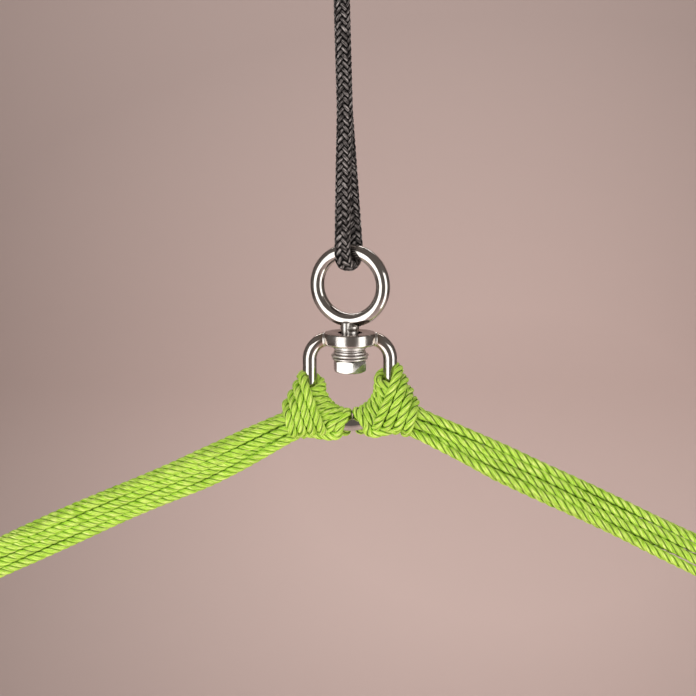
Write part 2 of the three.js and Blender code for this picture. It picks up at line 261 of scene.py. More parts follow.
# from the knot's mouth over the wire, round it, and on to the band across the front
def hitchHalf(side, loop, up):
    sign = 1 if up else -1
    spread = knot["spread"] * (loop + 0.5)
    tilt = knot["tilt"] if loop else knot["firstTilt"]
    across, depth = knot["leaves"][loop][0 if up else 1]
    out, edge, middle = side["bands"][loop]
    wrap = knot["wrap"]
    curl = knot["curl"] * wrap
    back = tilt * (1.3 if up else 0.3)

    def angle(add):
        return side["seat"] - sign * (spread + add)

    def slant(share):
        return out - sign * knot["slant"] * share

    return [
        inBundle(side, knot["reach"], across, depth),
        inBundle(side, knot["reach"] - 5, across, depth * 0.8 - 0.8),
        besideBow(angle(-tilt * 1.1), 6.5, -4.6 + depth * 0.15),
        besideBow(angle(-tilt), 0, -wrap),
        besideBow(angle(-tilt * 0.5), -curl, -curl),
        besideBow(angle(0), -wrap, 0),
        besideBow(angle(back * 0.5), -curl, curl),
        besideBow(angle(back), 0, wrap),
        besideBow(angle(back * 0.8), 0.8 * wrap, 0.75 * wrap),
        inBundle(side, slant(1) - 2, middle + sign * (edge - 1), 4.6),
        inBundle(side, slant(1), middle + sign * edge, -1.5),
        inBundle(side, slant(0.8), middle + sign * (edge - 2.6), -7),
        inBundle(side, slant(0.5), middle + sign * (edge * 0.5), knot["front"]),
    ]


# where a loop's two parts lie in the flat whipping
def endSlots(side, loop):
    p = side["pitch"]
    half = p / 2 if loop < 2 else 1.5 * p
    depth = 3.1 if loop % 2 == 0 else -3.1
    return half, depth


# a whole endless loop, from inside the whipping round the knot and the far bight
def loopLine(side, loop):
    half, depth = endSlots(side, loop)
    legs = []
    for leg, sign in ((0, 1), (1, -1)):
        across, layer = knot["leaves"][loop][leg]
        line = []
        for i in range(run["points"]):
            along = whip["from"] + (knot["reach"] + 4 - whip["from"]) * i / (run["points"] - 1)
            share = (along - knot["reach"]) / (whip["from"] - knot["reach"])
            rise = math.sin(math.pi * share) ** 0.8 if 0 < share < 1 else 0.0
            turn = math.radians(side["turn"]) * rise
            spread = min(1.0, share * run["openBy"])
            a = (across + (sign * half - across) * spread) * (1 - side["squeeze"] * rise)
            d = layer + (depth - layer) * spread
            a += run["wander"] * math.sin(along / run["wanderLong"] + 2.1 * loop + 1.3 * leg)
            line.append(inBundle(
                side, along, a * math.cos(turn) - d * math.sin(turn), a * math.sin(turn) + d * math.cos(turn),
            ))
        legs.append(line)
    far = whip["from"] + whip["long"]
    reach = run["farBight"] if loop > 1 else run["nearBight"]
    turn = [inBundle(side, far + reach * 0.5, -half, depth)]
    for i in range(7):
        a = -math.pi / 2 + math.pi * i / 6
        turn.append(inBundle(side, far + reach + half * math.cos(a), half * math.sin(a), depth))
    turn.append(inBundle(side, far + reach * 0.5, half, depth))
    inside = whip["from"] + whip["long"] / 2
    points = [inBundle(side, inside, half, depth)] + legs[0]
    points += hitchHalf(side, loop, True)
    bandAt, _, middle = side["bands"][loop]
    points.append(inBundle(side, bandAt, middle, knot["frontMiddle"]))
    points += hitchHalf(side, loop, False)[::-1]
    points += legs[1][::-1]
    points += [inBundle(side, inside, -half, depth)] + turn
    points.append(inBundle(side, inside, half, depth))
    points = np.array(points)
    points[:, 0] *= side["sign"]
    points[:, 2] -= drop
    return points * mm


# a cord of strands laid together; lay is how far one turn of them runs, in mm
def twistedCord(name, points, settings, lay, strands=3):
    line, length = smoothLine(points, settings["step"] * mm)
    across, other = sideways(line)
    s = np.linspace(0, length / mm, len(line))
    tubes = []
    for k in range(strands):
        a = 2 * math.pi * s / lay + 2 * math.pi * k / strands
        out = across * np.cos(a)[:, None] + other * np.sin(a)[:, None]
        centre = line + out * settings["strandOut"] * mm
        tubes.append(tubeRows(
            centre, out, settings["strandWide"] * mm, settings["strandThick"] * mm, settings["sides"],
        ))
    return meshFromRows(name, tubes, settings["step"], [crownOf(rows) for rows in tubes]), line, length


limeLoops = {"left": [], "right": []}
for label, side in bundles.items():
    for loop in range(4):
        obj, line, length = twistedCord(f"{label}_loop_{loop + 1}", loopLine(side, loop), cord, side["lay"])
        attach(obj, f"{label}_bundle")
        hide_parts(f"{label}_cord_{loop + 1}a", f"{label}_cord_{loop + 1}b", f"{label}_bight_{loop + 1}")
        limeLoops[label].append((obj, line, length))
        print(f"stage: {obj.name} is {length:.3f} m long")


# black braided rope; sizes in mm, heights from the middle of the collar
sling = {
    "diameter": 9.2,
    "turn": 9.2,  # from the bar it goes round to its own middle
    "underRing": 8.2,
    "twist": 23.0,  # degrees that its two parts stand turned at the ring
    "twistEnds": 132.0,
    "ringBar": 51.3,
    "eyeBar": 226.0,
    "joint": 210.0,
    "aside": -0.65,
    "lean": -0.028,
    "pressed": 0.42,  # how flat it is where it bears on the ring
    "pressedLong": 6.5,
    "pressedWider": 0.12,
    "pitch": 31.0,
    "carriers": 8,  # of each hand
    "layer": 3.5,
    "weave": 0.45,
    "weaveEdge": 2.2,
    "strandWide": 1.16,
    "strandThick": 0.65,
    "core": (3.4, 2.2),
    "step": 0.8,
    "sides": 10,
}


# how far the sling stands aside at a height
def asideAt(z):
    return sling["aside"] + sling["lean"] * (z - sling["ringBar"])


# the sling's line: down from the ferrule, round the ring, up, over the eye and back
def slingLine():
    points = []

    def leg(sign, z):
        share = min(1, max(0, (sling["twistEnds"] - z) / (sling["twistEnds"] - sling["ringBar"])))
        a = math.radians(sling["twist"] * share)
        x = asideAt(z) + sign * sling["turn"] * math.sin(a)
        points.append((x, sign * sling["turn"] * math.cos(a), z))

    for z in (sling["joint"], 190, 170, 150, 130, 110, 90, 70, 60):
        leg(1, z)
    yaw = math.radians(sling["twist"])
    for i in range(9):
        a = math.pi * i / 8
        out = sling["turn"] * math.cos(a)
        down = sling["underRing"] * math.sin(a)
        points.append((sling["aside"] + out * math.sin(yaw), out * math.cos(yaw), sling["ringBar"] - down))
    for z in (60, 70, 90, 110, 130, 150, 170, 190, 212):
        leg(-1, z)
    for i in range(9):
        a = math.pi * i / 8
        y = -sling["turn"] * math.cos(a)
        points.append((asideAt(sling["eyeBar"]), y, sling["eyeBar"] + sling["turn"] * math.sin(a)))
    leg(1, sling["joint"])
    points = np.array(points, float)
    points[:, 2] -= drop
    return points * mm


# carriers of two hands that pass over and under each other two by two, round a core that is painted the dark
# gap shade
def braidedRope(name, points):
    line, length = smoothLine(points, sling["step"] * mm)
    across, other = sideways(line)
    s = np.linspace(0, length / mm, len(line))
    n = sling["carriers"]
    low = line[:, 2].min()
    pressed = np.exp(-(((line[:, 2] - low) / (sling["pressedLong"] * mm)) ** 2))
    pressed *= np.abs(line[:, 2] - low) < 30 * mm
    bend = unit(np.array([(sling["aside"] * mm, 0, (sling["ringBar"] - drop) * mm)]) - line)
    tubes, crowns = [], []
    for hand in (1, -1):
        for k in range(n):
            a = hand * 2 * math.pi * s / sling["pitch"] + 2 * math.pi * k / n
            out = across * np.cos(a)[:, None] + other * np.sin(a)[:, None]
            cross = 2 * k + hand * 2 * n * s / sling["pitch"] - 0.5
            lift = hand * np.tanh(sling["weaveEdge"] * np.cos(2 * math.pi * cross / 4))
            offset = out * ((sling["layer"] + sling["weave"] * lift) * mm)[:, None]
            flat = np.sum(offset * bend, axis=1) * sling["pressed"] * pressed
            offset = offset * (1 + sling["pressedWider"] * pressed)[:, None] - bend * flat[:, None]
            tubes.append(tubeRows(
                line + offset, out, sling["strandWide"] * mm, sling["strandThick"] * mm, sling["sides"],
            ))
            # painted shade: strands passing under get a lower crown and so more of the gap colour
            crowns.append(crownOf(tubes[-1], 0.62 + 0.38 * lift))
    coreWide, coreThick = sling["core"]
    core = tubeRows(line, bend, coreWide * mm, coreThick * mm, 12)
    # the core takes the painted gap shade all over
    return meshFromRows(name, tubes + [core], sling["step"], crowns + [crownOf(core, 0.0)]), line, length


rope, ropePath, ropeLength = braidedRope("rope_sling", slingLine())
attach(rope, "sling")
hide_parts("hanging_rope")
print(f"stage: rope sling is {ropeLength:.3f} m long")


# edit-mode helpers
def deselectAll():
    bpy.ops.object.select_all(action="DESELECT")


def beginPiece(name):
    obj = bpy.context.object
    obj.name = obj.data.name = name
    bpy.ops.object.transform_apply(location=True, rotation=True, scale=True)
    bpy.ops.object.mode_set(mode="EDIT")
    bpy.ops.mesh.select_all(action="SELECT")
    return obj


def finishPiece(obj, sharp=35):
    bpy.ops.mesh.select_all(action="SELECT")
    bpy.ops.mesh.remove_doubles(threshold=2e-6)
    bpy.ops.mesh.normals_make_consistent(inside=False)
    bpy.ops.object.mode_set(mode="OBJECT")
    bpy.ops.object.shade_smooth_by_angle(angle=math.radians(sharp))
    return obj


def pickEdges(obj, test):
    bpy.ops.mesh.select_mode(type="EDGE")
    mesh = bmesh.from_edit_mesh(obj.data)
    for edge in mesh.edges:
        edge.select_set(bool(test(edge.verts[0].co, edge.verts[1].co)))
    mesh.select_flush_mode()
    bmesh.update_edit_mesh(obj.data)


def closeEnds():
    bpy.ops.mesh.select_mode(type="EDGE")
    bpy.ops.mesh.select_all(action="DESELECT")
    bpy.ops.mesh.select_non_manifold(extend=False)
    bpy.ops.mesh.edge_face_add()


def moveBy(obj, place, turn=(0, 0, 0)):
    deselectAll()
    obj.select_set(True)
    bpy.context.view_layer.objects.active = obj
    obj.rotation_euler = [math.radians(a) for a in turn]
    obj.location = place
    bpy.ops.object.transform_apply(location=True, rotation=True, scale=True)


def applyModifiers(obj):
    deselectAll()
    obj.select_set(True)
    bpy.context.view_layer.objects.active = obj
    for modifier in list(obj.modifiers):
        bpy.ops.object.modifier_apply(modifier=modifier.name)


def joinPieces(main, *others):
    deselectAll()
    for obj in others:
        obj.select_set(True)
    main.select_set(True)
    bpy.context.view_layer.objects.active = main
    bpy.ops.object.join()
    return main


# a turned piece, drawn ring by ring from [radius, height] pairs in mm; closed when it has a bore
def turnedPiece(name, profile, segments=128, closed=True, bevel=0.0):
    deselectAll()
    radius, height = profile[0]
    bpy.ops.mesh.primitive_circle_add(
        vertices=segments, radius=radius * mm, location=(0, 0, height * mm),
    )
    obj = beginPiece(name)
    before = profile[0]
    for r, z in profile[1:] + (profile[:1] if closed else []):
        bpy.ops.mesh.extrude_edges_move(TRANSFORM_OT_translate={"value": (0, 0, (z - before[1]) * mm)})
        if r != before[0]:
            share = r / before[0]
            bpy.ops.transform.resize(value=(share, share, 1), center_override=(0, 0, z * mm))
        before = (r, z)
    if not closed:
        closeEnds()
    bpy.ops.mesh.select_all(action="SELECT")
    bpy.ops.mesh.remove_doubles(threshold=2e-6)
    if bevel:
        bpy.ops.mesh.select_mode(type="EDGE")
        bpy.ops.mesh.select_all(action="DESELECT")
        bpy.ops.mesh.edges_select_sharp(sharpness=math.radians(40))
        bpy.ops.mesh.bevel(offset=bevel * mm, segments=3, affect="EDGES")
    return finishPiece(obj)


# a round bar drawn through bends and straight runs, all in one upright plane
def bentBar(name, radius, start, heading, strokes, sides=40):
    deselectAll()
    turn = math.atan2(heading[0], heading[2])
    bpy.ops.mesh.primitive_circle_add(
        vertices=sides, radius=radius * mm, location=Vector(start) * mm, rotation=(0, turn, 0),
    )
    obj = beginPiece(name)
    for kind, amount, centre in strokes:
        if kind == "bend":
            bpy.ops.mesh.spin(
                steps=max(6, int(abs(amount) / 3)), angle=math.radians(amount),
                center=Vector(centre) * mm, axis=(0, -1, 0),
            )
        else:
            bpy.ops.mesh.extrude_edges_move(TRANSFORM_OT_translate={"value": Vector(amount) * mm})
    closeEnds()
    return finishPiece(obj)


def settle(obj, body, *nodes):
    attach(obj, body)
    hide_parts(*nodes)


# ceiling plate with its countersunk holes, and the wide eye welded under it
plate = {"corner": 6.0, "rim": 0.7, "screwAt": 31.5, "hole": 2.7, "sink": 5.2, "sinkFrom": -2.4, "sinkTo": -4.9}
eye = {"half": 18.0, "bend": 8.0, "wire": 4.0}


def buildPlate():
    low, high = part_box("ceiling_plate")
    deselectAll()
    bpy.ops.mesh.primitive_cube_add(size=1, location=(low + high) / 2)
    bpy.context.object.scale = high - low
    obj = beginPiece("plate")
    pickEdges(obj, lambda a, b: abs(a.z - b.z) > 1 * mm)
    bpy.ops.mesh.bevel(offset=plate["corner"] * mm, segments=10, affect="EDGES")
    pickEdges(obj, lambda a, b: abs(a.z - b.z) < 1e-5)
    bpy.ops.mesh.bevel(offset=plate["rim"] * mm, segments=3, affect="EDGES")
    finishPiece(obj)
    tools = []
    for sign in (-1, 1):
        hole = turnedPiece("hole", [
            (plate["hole"], 3), (plate["hole"], plate["sinkFrom"]), (plate["sink"], plate["sinkTo"]),
            (plate["sink"], -8),
        ], 48, closed=False)
        moveBy(hole, (sign * plate["screwAt"] * mm, 0, 0))
        tools.append(hole)
    for tool in tools:
        cut = obj.modifiers.new("hole", "BOOLEAN")
        cut.operation = "DIFFERENCE"
        cut.object = tool
    applyModifiers(obj)
    for tool in tools:
        bpy.data.objects.remove(tool)
    deselectAll()
    obj.select_set(True)
    bpy.ops.object.shade_smooth_by_angle(angle=math.radians(35))
    settle(obj, "ceiling_fitting", "ceiling_plate")
    return obj


def buildEye():
    low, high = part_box("ceiling_eye")
    bottom = low.z / mm + eye["wire"]
    half, bend = eye["half"], eye["bend"]
    down = bottom + bend
    strokes = [
        ("push", (0, 0, down + 0.5), None),
        ("bend", -90, (bend - half, 0, down)),
        ("push", (2 * (half - bend), 0, 0), None),
        ("bend", -90, (half - bend, 0, down)),
        ("push", (0, 0, -down - 0.5), None),
    ]
    obj = bentBar("eye_bar", eye["wire"], (-half, 0, -0.5), (0, 0, -1), strokes)
    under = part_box("ceiling_plate")[0].z / mm
    for sign in (-1, 1):
        bead = turnedPiece("bead", [
            (3.9, under + 0.2), (6.0, under + 0.2), (5.6, under - 0.5), (4.9, under - 1.1),
            (4.3, under - 1.9), (3.9, under - 2.1),
        ], 64, bevel=0.25)
        moveBy(bead, (sign * half * mm, 0, 0))
        obj = joinPieces(obj, bead)
    settle(obj, "ceiling_fitting", "ceiling_eye")
    return obj


plateObj = buildPlate()
eyeObj = buildEye()
print("stage: ceiling fitting")


# pressed sleeve that joins the rope's ends
sleeve = {"outer": 7.0, "bore": 4.75, "groove": 6.45, "half": 12.0, "groovesAt": (-6.0, 0.0, 6.0)}


def buildSleeve():
    low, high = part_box("rope_ferrule")
    middle = (low + high) / 2
    half = sleeve["half"]
    r, groove = sleeve["outer"], sleeve["groove"]
    profile = [(sleeve["bore"], -half), (r - 1.0, -half), (r - 0.2, -half + 0.5), (r, -half + 1.4)]
    for at in sleeve["groovesAt"]:
        profile += [(r, at - 1.9), (groove, at - 1.2), (groove, at + 1.2), (r, at + 1.9)]
    profile += [(r, half - 1.4), (r - 0.2, half - 0.5), (r - 1.0, half), (sleeve["bore"], half)]
    obj = turnedPiece("crimped_sleeve", profile, 96, bevel=0.3)
    moveBy(obj, middle, (0, math.degrees(math.atan(sling["lean"])), 0))
    settle(obj, "sling", "rope_ferrule")
    return obj


sleeveObj = buildSleeve()
print("stage: sleeve")


# ring, bolt and the washers that turn with it
ring = {"yaw": -20.0, "wire": 4.0, "sides": 48, "steps": 160}
bolt = {
    "shank": 4.9,
    "flats": 17.0,
    "turn": 10.0,
    "edge": 0.3,
    "washerGap": 0.3,
    "tip": 2.6,  # radius of the two rounded horns that hold the ring between them
    "tipAside": 2.2,
    "tipFront": 2.75,
}
splitWasher = {"bore": 0.3, "thinner": 0.45, "rise": 0.42, "sweep": 353, "gapAt": 196, "rim": 0.28}


def buildRing():
    low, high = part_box("top_ring")
    middle = (low + high) / 2
    radius = (high.z - low.z) / 2 - ring["wire"] * mm
    deselectAll()
    bpy.ops.mesh.primitive_circle_add(
        vertices=ring["sides"], radius=ring["wire"] * mm, location=(radius, 0, 0),
    )
    obj = beginPiece("ring")
    bpy.ops.mesh.spin(steps=ring["steps"], angle=2 * math.pi, center=(0, 0, 0), axis=(0, 1, 0))
    finishPiece(obj, 80)
    moveBy(obj, middle, (0, 0, ring["yaw"]))
    settle(obj, "swivel_top", "top_ring")
    return obj


def buildBolt():
    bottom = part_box("swivel_bolt")[0].z / mm
    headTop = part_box("spring_washer")[0].z / mm - bolt["washerGap"]
    across = bolt["flats"] / math.cos(math.pi / 6)
    deselectAll()
    bpy.ops.mesh.primitive_cylinder_add(
        vertices=6, radius=across / 2 * mm, depth=(headTop - bottom) * mm,
        location=(0, 0, (headTop + bottom) / 2 * mm), rotation=(0, 0, math.radians(bolt["turn"])),
    )
    obj = beginPiece("hex_bolt")
    finishPiece(obj)
    cap = turnedPiece("cap", [
        (bolt["flats"] / 2 - 1.1, bottom + 0.02), (bolt["flats"] / 2 - 0.3, bottom + 0.25),
        (across / 2 + 0.3, bottom + 1.7), (across / 2 + 0.3, headTop - 0.7),
        (bolt["flats"] / 2 - 0.2, headTop - 0.02),
    ], 160, closed=False)
    trim = obj.modifiers.new("cap", "BOOLEAN")
    trim.operation = "INTERSECT"
    trim.object = cap
    soften = obj.modifiers.new("soften", "BEVEL")
    soften.width = bolt["edge"] * mm
    soften.segments = 3
    soften.limit_method = "ANGLE"
    soften.angle_limit = math.radians(28)
    applyModifiers(obj)
    bpy.data.objects.remove(cap)
    deselectAll()
    obj.select_set(True)
    bpy.ops.object.shade_smooth_by_angle(angle=math.radians(24))
    settle(obj, "swivel_top", "swivel_bolt")
    return obj


# the shank, with the two horns that hold the ring
def buildStem():
    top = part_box("swivel_bolt")[1].z / mm
    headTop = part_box("spring_washer")[0].z / mm - bolt["washerGap"]
    r, tip = bolt["shank"], bolt["tip"]
    obj = turnedPiece("stem", [
        (r, headTop - 0.2), (r, top - 3.4), (r - 0.15, top - 2.8), (r - 0.6, top - 2.3), (r - 1.4, top - 1.9),
    ], 96, closed=False)
    horns = []
    for sign in (-1, 1):
        horn = turnedPiece("horn", [
            (tip, top - 7), (tip, top - 1.0), (tip - 0.08, top - 0.5), (tip - 0.35, top - 0.05),
            (tip - 0.85, top + 0.22), (tip - 1.6, top + 0.35),
        ], 48, closed=False)
        moveBy(horn, (sign * bolt["tipAside"] * mm, sign * bolt["tipFront"] * mm, 0))
        horns.append(horn)
    joinPieces(obj, *horns)
    settle(obj, "swivel_top", "swivel_bolt")
    return obj


# a race or washer: a flat ring with softened edges, as wide and high as its node
def flatRing(name, node, bore, body, bevel, segments=128):
    low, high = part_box(node)
    r = (high.x - low.x) / 2 / mm
    bottom, top = low.z / mm, high.z / mm
    obj = turnedPiece(name, [(bore, bottom), (r, bottom), (r, top), (bore, top)], segments, bevel=bevel)
    settle(obj, body, node)
    return obj


def buildSpringWasher():
    low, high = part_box("spring_washer")
    inner, outer = bolt["shank"] + splitWasher["bore"], (high.x - low.x) / 2 / mm
    thick = (high.z - low.z) / mm - splitWasher["thinner"]
    deselectAll()
    bpy.ops.mesh.primitive_plane_add(
        size=1, rotation=(math.pi / 2, 0, 0), location=((inner + outer) / 2 * mm, 0, 0),
    )
    bpy.context.object.scale = ((outer - inner) * mm, thick * mm, 1)
    obj = beginPiece("split_washer")
    bpy.ops.mesh.bevel(offset=splitWasher["rim"] * mm, segments=3, affect="VERTICES")
    bpy.ops.mesh.delete(type="ONLY_FACE")
    bpy.ops.object.mode_set(mode="OBJECT")
    coil = obj.modifiers.new("coil", "SCREW")
    coil.angle = math.radians(splitWasher["sweep"])
    coil.screw_offset = splitWasher["rise"] * mm
    coil.steps = coil.render_steps = 140
    applyModifiers(obj)
    bpy.ops.object.mode_set(mode="EDIT")
    closeEnds()
    finishPiece(obj)
    middle = (low.z + high.z) / 2
    moveBy(obj, (0, 0, middle - splitWasher["rise"] / 2 * mm), (0, 0, splitWasher["gapAt"]))
    settle(obj, "swivel_top", "spring_washer")
    return obj


def buildRingWeld():
    low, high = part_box("ring_weld")
    bottom, top = low.z / mm, high.z / mm
    r = bolt["shank"]
    obj = turnedPiece("ring_bead", [
        (r - 0.1, bottom + 0.4), (r + 0.1, bottom + 0.5), (r + 0.3, bottom + 1.2), (r + 0.5, bottom + 1.9),
        (r + 0.6, bottom + 2.6), (r + 0.4, top - 0.1), (r - 0.1, top + 0.2),
    ], 96)
    settle(obj, "swivel_top", "ring_weld")
    return obj


ringObj = buildRing()
boltObj = buildBolt()
stemObj = buildStem()
ringWeld = buildRingWeld()
lowerRace = flatRing("lower_bearing_race", "lower_race", bolt["shank"] + 0.3, "swivel_top", 0.25)
flatWasher = flatRing("plain_washer", "flat_washer", bolt["shank"] + 0.3, "swivel_top", 0.3)
springWasher = buildSpringWasher()
print("stage: ring, bolt and washers")


# bearing: a thin cage with its balls, and the race above it
bearing = {"cageBore": 5.7, "ballAt": 7.3, "ball": 0.62, "balls": 10}


def buildCage():
    low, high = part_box("ball_cage")
    r = (high.x - low.x) / 2 / mm
    middle = (low.z + high.z) / 2 / mm
    obj = turnedPiece("bearing_cage_ring", [
        (bearing["cageBore"], middle - 0.3), (r, middle - 0.3), (r, middle + 0.3),
        (bearing["cageBore"], middle + 0.3),
    ], 96, bevel=0.08)
    balls = []
    for i in range(bearing["balls"]):
        a = 2 * math.pi * i / bearing["balls"]
        deselectAll()
        bpy.ops.mesh.primitive_uv_sphere_add(
            segments=20, ring_count=12, radius=bearing["ball"] * mm,
            location=(bearing["ballAt"] * math.cos(a) * mm, bearing["ballAt"] * math.sin(a) * mm, middle * mm),
        )
        ball = beginPiece("ball")
        balls.append(finishPiece(ball, 80))
    joinPieces(obj, *balls)
    settle(obj, "bearing_cage", "ball_cage")
    return obj


cageObj = buildCage()
upperRace = flatRing("upper_bearing_race", "upper_race", bolt["shank"] + 0.3, "swivel_bow", 0.25)

# collar and the bow welded to its sides
collar = {"bore": 5.3, "recess": 6.75, "recessDeep": 3.2, "topEdge": 0.75, "lowEdge": 1.4}


def buildCollar():
    low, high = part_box("collar")
    r = (high.x - low.x) / 2 / mm
    bottom, top = low.z / mm, high.z / mm
    e, t = collar["lowEdge"], collar["topEdge"]
    profile = [(collar["bore"], bottom)]
    for i in range(7):
        a = math.pi / 2 * i / 6
        profile.append((r - e + e * math.sin(a), bottom + e - e * math.cos(a)))
    for i in range(6):
        a = math.pi / 2 * i / 5
        profile.append((r - t + t * math.cos(a), top - t + t * math.sin(a)))
    profile += [
        (collar["recess"] + 0.35, top), (collar["recess"] + 0.1, top - 0.1), (collar["recess"], top - 0.4),
        (collar["recess"], top - collar["recessDeep"]), (collar["bore"], top - collar["recessDeep"]),
    ]
    obj = turnedPiece("swivel_collar", profile, 160)
    settle(obj, "swivel_bow", "collar")
    return obj


def buildBow():
    half, bend = bow["half"], bow["bend"]
    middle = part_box("lower_bow")[0].z / mm + bow["wire"] / 2 + half
    at = half - bend
    corner = bow["top"] - bend - drop
    first = math.degrees(math.asin((bow["start"] - 1.0 - at) / bend))
    a = math.radians(first)
    strokes = [
        ("bend", first - 90, (-at, 0, corner)),
        ("push", (0, 0, middle - corner), None),
        ("bend", -180, (0, 0, middle)),
        ("push", (0, 0, corner - middle), None),
        ("bend", first - 90, (at, 0, corner)),
    ]
    start = (-at - bend * math.sin(a), 0, corner + bend * math.cos(a))
    obj = bentBar("bow_bar", bow["wire"] / 2, start, (-math.cos(a), 0, -math.sin(a)), strokes, 48)
    settle(obj, "swivel_bow", "lower_bow")
    return obj


# a low fillet where the bar meets the collar
def buildSideWeld(name, node, sign):
    wire = bow["wire"] / 2
    at = bow["half"] - bow["bend"]
    out = bow["start"] - 0.35
    height = bow["top"] - bow["bend"] + math.sqrt(bow["bend"] ** 2 - (out - at) ** 2) - drop
    obj = turnedPiece("bead", [
        (wire - 0.1, -0.9), (wire + 0.28, -0.9), (wire + 0.28, -0.2), (wire + 0.2, 0.2), (wire + 0.08, 0.5),
        (wire - 0.1, 0.7),
    ], 96)
    obj.name = obj.data.name = name
    moveBy(obj, (sign * out * mm, 0, height * mm), (0, sign * 90, 0))
    settle(obj, "swivel_bow", node)
    return obj


collarObj = buildCollar()
bowObj = buildBow()
leftWeld = buildSideWeld("left_bead", "left_weld", -1)
rightWeld = buildSideWeld("right_bead", "right_weld", 1)
print("stage: collar, bow and bearing")


# tight turns of twine that bind each bundle's cords before its end loops
def buildWhipping(label, side):
    turn = whip["twine"] / 2
    corner = cord["diameter"] / 2 + turn
    wide, deep = 1.5 * side["pitch"], 3.1
    deselectAll()
    bpy.ops.mesh.primitive_circle_add(
        vertices=14, radius=turn * mm, location=((wide + corner) * mm, -deep * mm, 0),
        rotation=(math.pi / 2, 0, 0),
    )
    obj = beginPiece(f"{label}_twine")
    runs = [(0, 2 * deep), (-2 * wide, 0), (0, -2 * deep), (2 * wide, 0)]
    corners = [(wide, deep), (-wide, deep), (-wide, -deep), (wide, -deep)]
    for (dx, dy), (cx, cy) in zip(runs, corners):
        bpy.ops.mesh.extrude_edges_move(TRANSFORM_OT_translate={"value": (dx * mm, dy * mm, 0)})
        bpy.ops.mesh.spin(steps=10, angle=math.pi / 2, center=(cx * mm, cy * mm, 0), axis=(0, 0, -1))
    finishPiece(obj, 80)
    coil = obj.modifiers.new("coil", "ARRAY")
    coil.count = whip["turns"]
    coil.use_relative_offset = False
    coil.use_constant_offset = True
    coil.constant_offset_displace = (0, 0, whip["twine"] * mm)
    applyModifiers(obj)
    start = inBundle(side, whip["from"] + turn, 0, 0)
    place = (side["sign"] * start[0] * mm, 0, (start[2] - drop) * mm)
    moveBy(obj, place, (0, side["sign"] * (90 + side["slope"]), 0))
    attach(obj, f"{label}_bundle")
    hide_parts(f"{label}_whipping")
    return obj


twines = {label: buildWhipping(label, side) for label, side in bundles.items()}
print("stage: whippings")


# shader groups: fibres that run along a strand, and fine wear on polished metal
def newGroup(name, inputs, outputs):
    group = bpy.data.node_groups.new(name, "ShaderNodeTree")
    for label, kind, value in inputs:
        socket = group.interface.new_socket(name=label, in_out="INPUT", socket_type=kind)
        if value is not None:
            socket.default_value = value
    for label, kind in outputs:
        group.interface.new_socket(name=label, in_out="OUTPUT", socket_type=kind)
    return group, group.nodes.new("NodeGroupInput"), group.nodes.new("NodeGroupOutput")


def addMath(nodes, links, operation, first, second):
    node = nodes.new("ShaderNodeMath")
    node.operation = operation
    for socket, value in zip(node.inputs, (first, second)):
        if isinstance(value, (int, float)):
            socket.default_value = value
        else:
            links.new(value, socket)
    return node.outputs[0]


def addNoise(nodes, links, vector, scale, detail=3.0, rough=0.5):
    node = nodes.new("ShaderNodeTexNoise")
    node.inputs["Detail"].default_value = detail
    node.inputs["Roughness"].default_value = rough
    if isinstance(scale, (int, float)):
        node.inputs["Scale"].default_value = scale
    else:
        links.new(scale, node.inputs["Scale"])
    links.new(vector, node.inputs["Vector"])
    return node.outputs[0]


def makeFibreGroup():
    group, start, end = newGroup("fibreLines", [
        ("Vector", "NodeSocketVector", None), ("Fibres", "NodeSocketFloat", 26.0),
        ("Slant", "NodeSocketFloat", 0.03), ("Stretch", "NodeSocketFloat", 0.2),
    ], [("Fibre", "NodeSocketFloat"), ("Patch", "NodeSocketFloat"), ("Around", "NodeSocketFloat")])
    nodes, links = group.nodes, group.links
    split = nodes.new("ShaderNodeSeparateXYZ")
    links.new(start.outputs["Vector"], split.inputs[0])
    slanted = addMath(nodes, links, "MULTIPLY", split.outputs[1], start.outputs["Slant"])
    around = addMath(nodes, links, "ADD", split.outputs[0], slanted)
    x = addMath(nodes, links, "MULTIPLY", around, start.outputs["Fibres"])
    y = addMath(nodes, links, "MULTIPLY", split.outputs[1], start.outputs["Stretch"])
    join = nodes.new("ShaderNodeCombineXYZ")
    links.new(x, join.inputs[0])
    links.new(y, join.inputs[1])
    links.new(addNoise(nodes, links, join.outputs[0], 1.0, 3.0, 0.6), end.inputs["Fibre"])
    links.new(addNoise(nodes, links, start.outputs["Vector"], 0.12, 2.0), end.inputs["Patch"])
    links.new(around, end.inputs["Around"])
    return group


def makeWearGroup():
    group, start, end = newGroup("metalWear", [
        ("Vector", "NodeSocketVector", None), ("Scratches", "NodeSocketFloat", 1.0),
    ], [("Height", "NodeSocketFloat"), ("Smudge", "NodeSocketFloat"), ("Speck", "NodeSocketFloat")])
    nodes, links = group.nodes, group.links
    inMm = nodes.new("ShaderNodeVectorMath")
    inMm.operation = "SCALE"
    inMm.inputs["Scale"].default_value = 1000
    links.new(start.outputs["Vector"], inMm.inputs[0])
    stretch = nodes.new("ShaderNodeMapping")
    stretch.inputs["Rotation"].default_value = (0.4, 0.7, 0.3)
    stretch.inputs["Scale"].default_value = (5.0, 0.35, 5.0)
    links.new(inMm.outputs[0], stretch.inputs[0])
    lines = addNoise(nodes, links, stretch.outputs[0], 1.0, 4.0, 0.7)
    skin = addNoise(nodes, links, inMm.outputs[0], 0.9, 3.0, 0.55)
    fine = addMath(nodes, links, "MULTIPLY", lines, start.outputs["Scratches"])
    links.new(addMath(nodes, links, "ADD", fine, skin), end.inputs["Height"])
    links.new(addNoise(nodes, links, inMm.outputs[0], 0.16, 4.0, 0.65), end.inputs["Smudge"])
    links.new(addNoise(nodes, links, inMm.outputs[0], 3.2, 2.0, 0.6), end.inputs["Speck"])
    return group


fibreGroup = makeFibreGroup()
wearGroup = makeWearGroup()


def newMaterial(name):
    material = bpy.data.materials.new(name)
    material.use_nodes = True
    nodes = material.node_tree.nodes
    return material, nodes, material.node_tree.links, nodes["Principled BSDF"]


